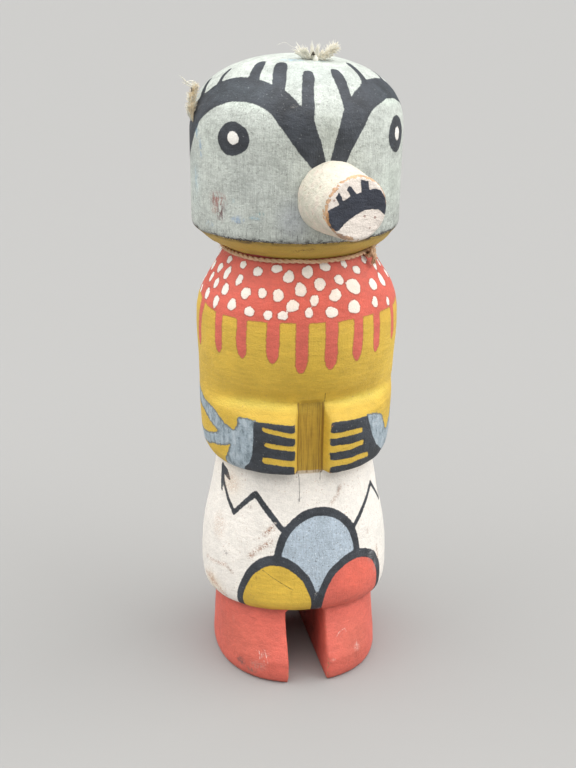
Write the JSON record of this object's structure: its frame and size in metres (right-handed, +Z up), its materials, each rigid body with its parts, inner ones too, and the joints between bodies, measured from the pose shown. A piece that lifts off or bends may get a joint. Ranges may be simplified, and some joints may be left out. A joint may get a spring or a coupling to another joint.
{
  "type": "kachina doll",
  "caption": "Carved and painted wooden figure with a round helmet-like head, a peg snout, folded arms, a flaring kilt and two boots, standing on its soles.",
  "frame": {"origin": "middle of the bottom of the whole doll's box, on the surface that the soles stand on", "axes": "+Z up from the soles to the crown; the doll faces -Y, and its right hand is at -X"},
  "size_m": [0.0616, 0.0732, 0.1836],
  "materials": {
    "painted_wood": "matte hand-brushed paint over carved wood, in several colours",
    "white_painted_wood": "matte white paint, worn to bare wood along the rim",
    "twine": "dry two-ply twine",
    "feather": "worn downy barbs"
  },
  "bodies": {
    "root": {"figure": "painted_wood", "snout": "white_painted_wood", "neck_string": "twine", "crown_feather": "feather", "ear_feather": "feather"}
  },
  "joints": []
}
